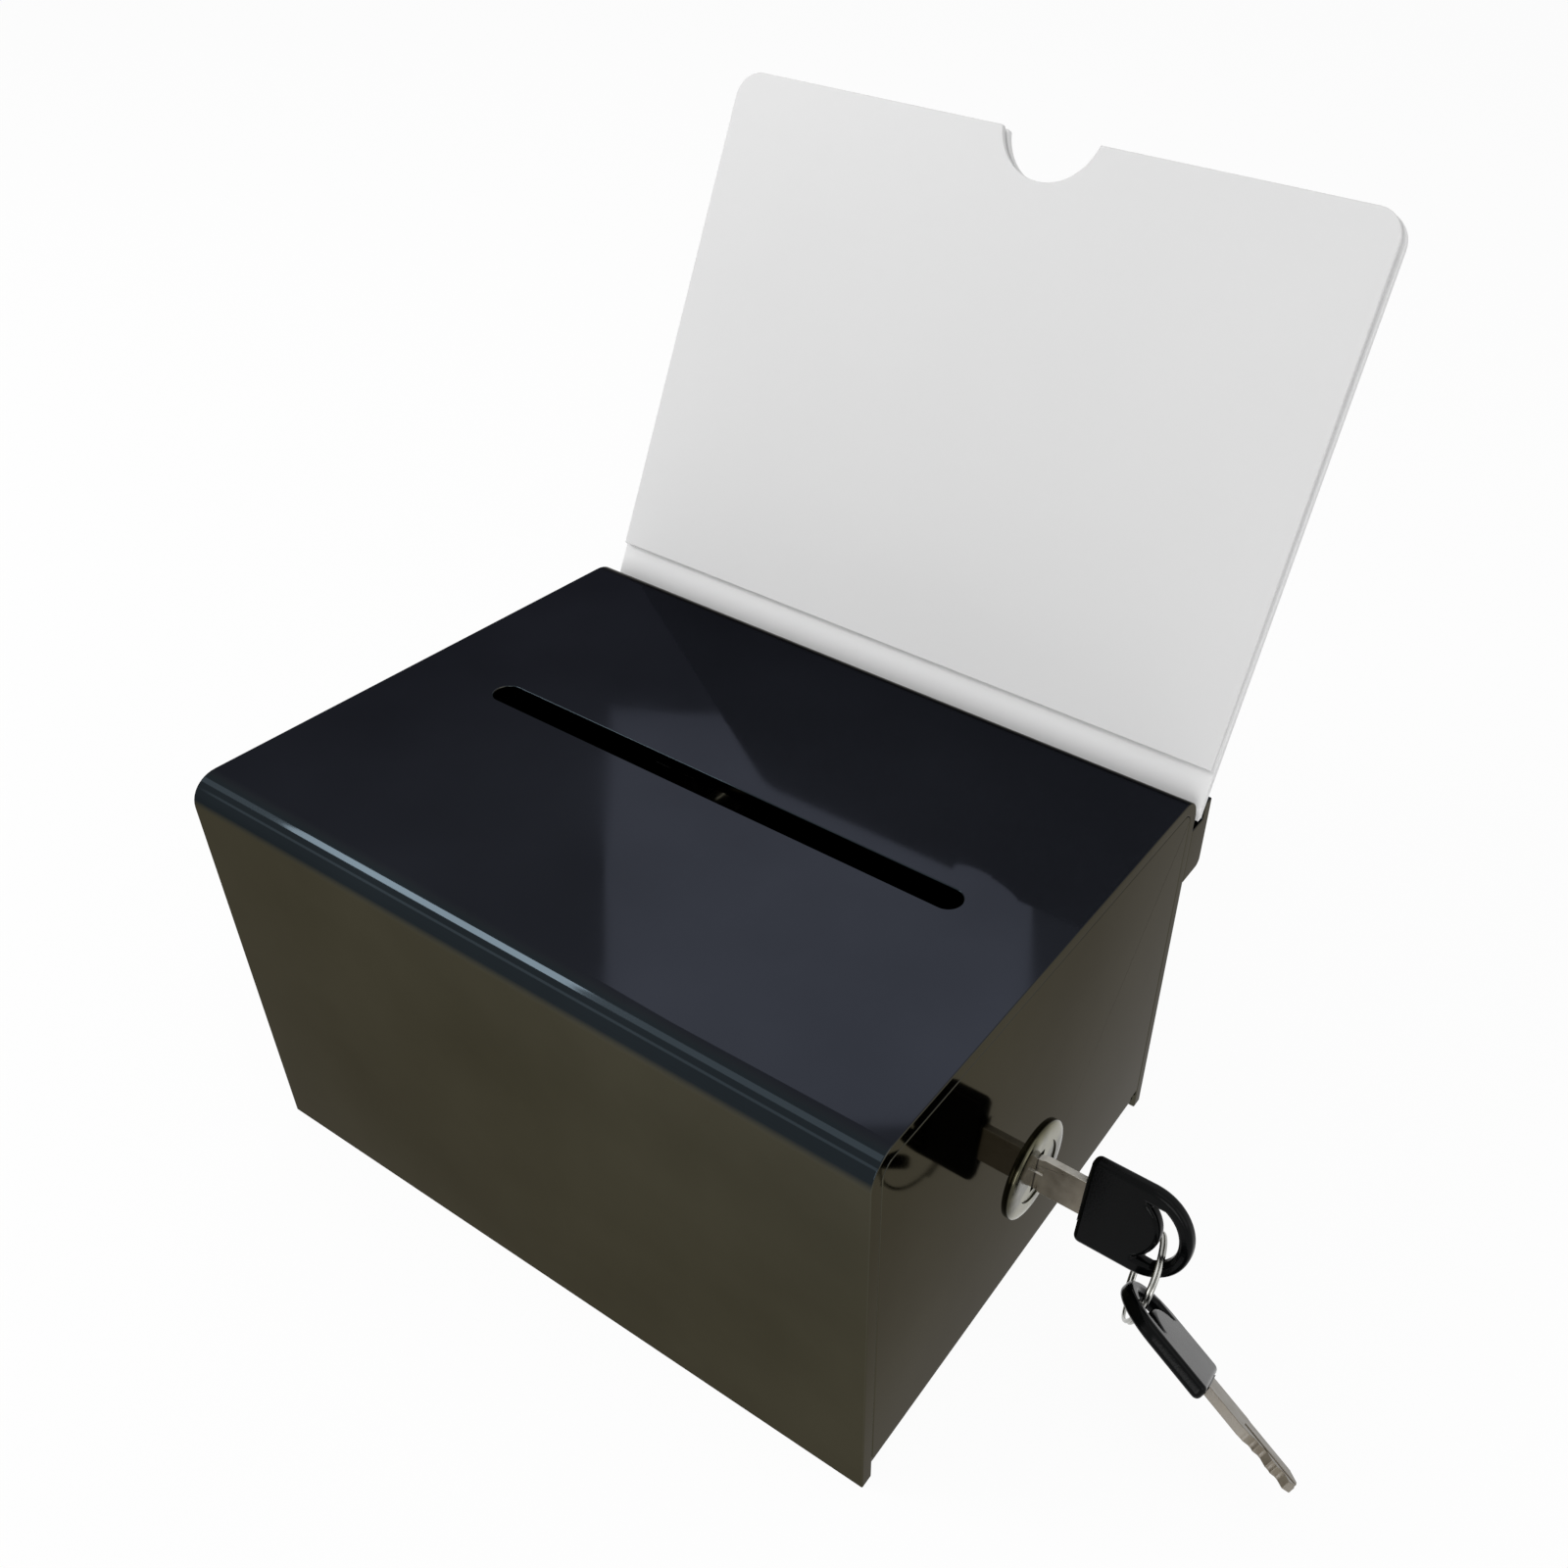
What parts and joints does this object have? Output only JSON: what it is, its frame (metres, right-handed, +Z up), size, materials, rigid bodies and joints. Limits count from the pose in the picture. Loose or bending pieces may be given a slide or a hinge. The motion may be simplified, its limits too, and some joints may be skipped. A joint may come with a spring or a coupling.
{
  "type": "ballot box",
  "caption": "Small black acrylic ballot box with a slotted top, a locked bottom door with keys on a ring, and a leaning lift-off sign pocket behind it.",
  "frame": {"origin": "middle of the front wall's lower outside edge, on the surface that the box stands on", "axes": "+X to the right, where the lock is, +Y to the rear, where the sign stands, +Z up"},
  "size_m": [0.2297, 0.1752, 0.1975],
  "materials": {
    "black_acrylic": "high gloss",
    "sign_sheet": "satin",
    "lock_chrome": "polished",
    "key_nickel": "satin nickel",
    "ring_nickel": "bright nickel",
    "hinge_steel": "satin",
    "zinc_steel": "zinc plated",
    "key_plastic": "fine satin"
  },
  "bodies": {
    "case": {"shell": "black_acrylic", "left_side_panel": "black_acrylic", "right_side_panel": "black_acrylic", "sign_channel": "black_acrylic", "lock_housing": "lock_chrome", "lock_nut": "zinc_steel", "front_hinge_fixed_leaf": "hinge_steel", "rear_hinge_fixed_leaf": "hinge_steel", "front_hinge_pin": "hinge_steel", "rear_hinge_pin": "hinge_steel", "fixed_leaf_screws": "zinc_steel"},
    "door": {"bottom_door": "black_acrylic", "door_strike": "black_acrylic", "front_hinge_moving_leaf": "hinge_steel", "rear_hinge_moving_leaf": "hinge_steel", "moving_leaf_screws": "zinc_steel"},
    "plug": {"lock_plug": "lock_chrome", "lock_cam": "zinc_steel", "cam_washer": "zinc_steel", "cam_screw": "zinc_steel"},
    "key": {"key_blade": "key_nickel", "key_head": "key_plastic"},
    "ring": {"key_ring": "ring_nickel"},
    "spare_key": {"spare_key_blade": "key_nickel", "spare_key_head": "key_plastic"},
    "sign": {"sign_back_sheet": "sign_sheet", "sign_front_sheet": "sign_sheet"}
  },
  "joints": [
    {"name": "door_hinge", "type": "hinge", "parent": "case", "child": "door", "pos_m": [-0.0754, 0.058, 0.0076], "axis": [0, 1, 0], "range_deg": [0, 90]},
    {"name": "lock_turn", "type": "hinge", "parent": "case", "child": "plug", "pos_m": [0.08, 0.058, 0.034], "axis": [1, 0, 0], "range_deg": [0, 90]},
    {"name": "key_slide", "type": "slide", "parent": "plug", "child": "key", "axis": [1, 0, 0], "range_m": [0, 0.016]},
    {"name": "ring_swing", "type": "hinge", "parent": "key", "child": "ring", "pos_m": [0.1101, 0.05737, 0.03076], "axis": [-0.3007, 0.9537, 0], "range_deg": [-45, 15]},
    {"name": "spare_key_swing", "type": "hinge", "parent": "ring", "child": "spare_key", "pos_m": [0.111, 0.0484, 0.02414], "axis": [-0.1733, -0.3119, -0.9342], "range_deg": [0, 40]},
    {"name": "sign_lift", "type": "slide", "parent": "case", "child": "sign", "axis": [0, 0, 1], "range_m": [0, 0.03]}
  ]
}
